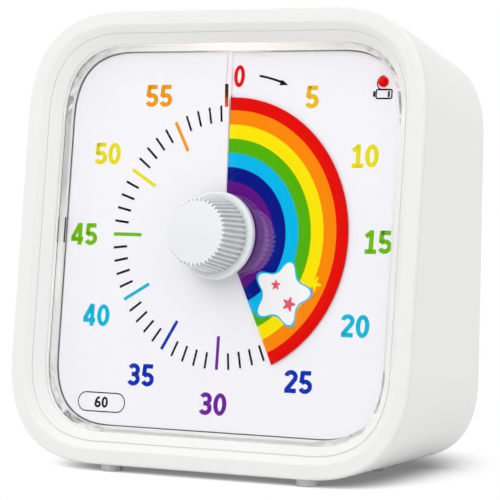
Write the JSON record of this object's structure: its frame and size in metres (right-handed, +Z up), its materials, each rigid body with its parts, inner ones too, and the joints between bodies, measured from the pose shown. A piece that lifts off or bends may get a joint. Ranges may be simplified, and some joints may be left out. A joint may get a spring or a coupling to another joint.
{
  "type": "visual countdown timer",
  "caption": "Free-standing visual countdown timer: soft-cornered white case, clear window, numbered dial, ribbed knob and a slit rainbow disc that shows the time left.",
  "frame": {"origin": "on the table, under the middle of the whole timer", "axes": "+X to the right seen from the front, +Y from the dial to the rear, +Z up; the face leans back 7.33 degrees"},
  "size_m": [0.085, 0.0453, 0.0859],
  "materials": {
    "white_plastic": "gloss moulded",
    "knob_plastic": "satin moulded",
    "clear_plastic": "polished clear acrylic",
    "printed_card": "satin printed sheet",
    "rainbow_print": "satin printed sheet in seven bands",
    "inner_plastic": "moulded",
    "gear_plastic": "moulded acetal",
    "steel": "turned and plated",
    "spring_steel": "nickel plated",
    "cell_case": "printed sleeve",
    "foot_rubber": "soft grey",
    "board": "solder mask",
    "black_plastic": "moulded",
    "red_led": "tinted epoxy",
    "light_strip": "phosphor and board"
  },
  "bodies": {
    "casing": {"front_bezel": "white_plastic", "rear_housing": "white_plastic", "clear_cover": "clear_plastic", "dial_card": "printed_card", "dial_carrier": "inner_plastic", "intermediate_arbor": "steel", "gear_motor": "steel", "movement_case_front": "black_plastic", "movement_case_rear": "black_plastic", "housing_screws": "steel", "carrier_screws": "steel", "movement_screws": "steel", "battery_cells": "cell_case", "battery_plates": "spring_steel", "battery_springs": "spring_steel", "circuit_board": "board", "controller_chip": "black_plastic", "buzzer": "black_plastic", "sound_switch": "steel", "light_switch": "steel", "light_lens": "clear_plastic", "night_light_led": "light_strip", "low_battery_led": "red_led", "front_feet": "foot_rubber", "rear_feet": "foot_rubber"},
    "timer": {"knob": "knob_plastic", "shaft": "steel", "disc_hub": "gear_plastic", "rainbow_disc": "rainbow_print", "output_wheel": "gear_plastic", "clutch_spring": "spring_steel"},
    "intermediate": {"intermediate_gear": "gear_plastic"},
    "motor_rotor": {"motor_pinion": "gear_plastic"},
    "sound_slide": {"sound_slider": "black_plastic"},
    "light_slide": {"light_slider": "black_plastic"},
    "battery_cover": {"battery_door": "white_plastic"}
  },
  "joints": [
    {"name": "timer_turn", "type": "hinge", "parent": "casing", "child": "timer", "pos_m": [0, -0.01123, 0.04387], "axis": [0, 0.9918, -0.1276], "range_deg": [-153, 201], "deforming": ["rainbow_disc"]},
    {"name": "intermediate_turn", "type": "hinge", "parent": "casing", "child": "intermediate", "pos_m": [-0.0109, -0.01123, 0.04387], "axis": [0, 0.9918, -0.1276], "range_deg": [-1010, 770]},
    {"name": "motor_turn", "type": "hinge", "parent": "casing", "child": "motor_rotor", "pos_m": [-0.01595, -0.01215, 0.03672], "axis": [0, 0.9918, -0.1276], "range_deg": [-3680, 4830]},
    {"name": "sound_switch_slide", "type": "slide", "parent": "casing", "child": "sound_slide", "axis": [1, 0, 0], "range_m": [-0.002, 0.002]},
    {"name": "light_switch_slide", "type": "slide", "parent": "casing", "child": "light_slide", "axis": [1, 0, 0], "range_m": [-0.002, 0.002]},
    {"name": "battery_cover_tilt", "type": "hinge", "parent": "casing", "child": "battery_cover", "pos_m": [0, 0.02021, 0.01991], "axis": [-1, 0, 0], "range_deg": [0, 70]}
  ],
  "couplings": [
    {"joint": "intermediate_turn", "follows": "timer_turn", "ratio": -5},
    {"joint": "motor_turn", "follows": "timer_turn", "ratio": 24}
  ]
}
